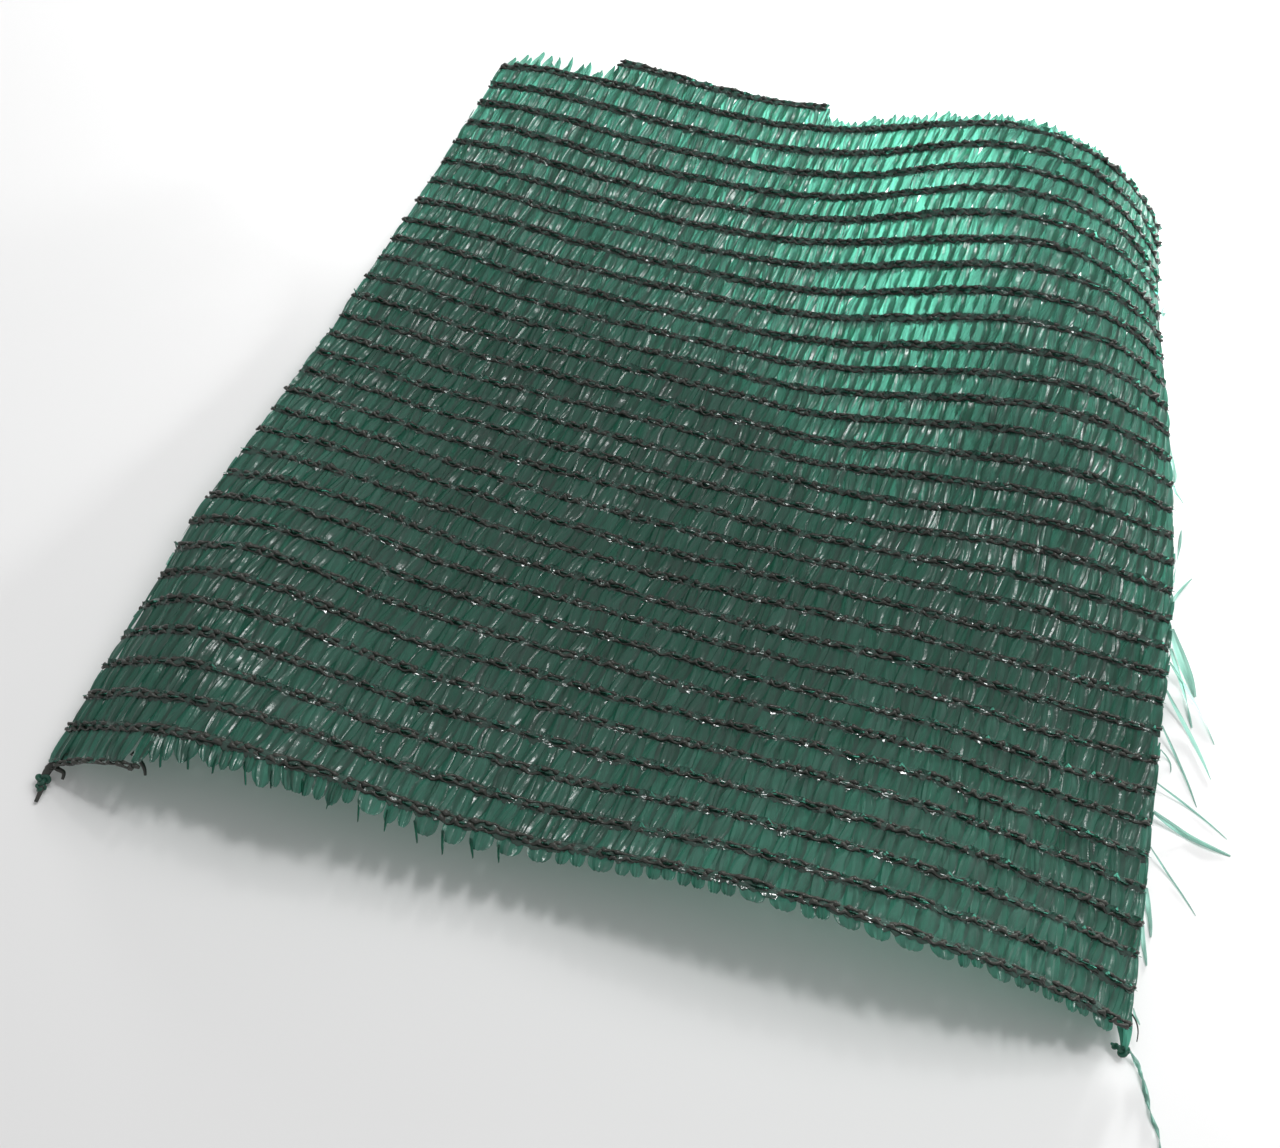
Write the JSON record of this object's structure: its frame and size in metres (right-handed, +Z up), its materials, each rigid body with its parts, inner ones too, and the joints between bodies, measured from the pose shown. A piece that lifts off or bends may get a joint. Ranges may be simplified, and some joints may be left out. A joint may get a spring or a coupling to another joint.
{
  "type": "cut piece of knitted privacy screen net",
  "caption": "Hand-cut piece of dark green knitted privacy screen net, lying in a loose curl with a looped near edge and loose cut ends.",
  "frame": {"origin": "middle of the part in plan, at the surface it lies on", "axes": "+Z up, +X along the chain rows to the right, +Y from the looped near edge to the far edge"},
  "size_m": [0.0943, 0.0962, 0.0142],
  "materials": {
    "net_tape": "satin",
    "loose_tape": "gloss",
    "chain_filament": "satin"
  },
  "bodies": {
    "root": {"knitted_net": "net_tape", "near_loops_1": "net_tape", "near_loops_2": "net_tape", "near_loops_3": "net_tape", "far_left_tufts": "net_tape", "far_right_tufts_1": "net_tape", "far_right_tufts_2": "net_tape", "far_right_tufts_3": "net_tape", "right_cut_ends": "loose_tape", "left_tip_ends": "chain_filament"}
  },
  "joints": []
}
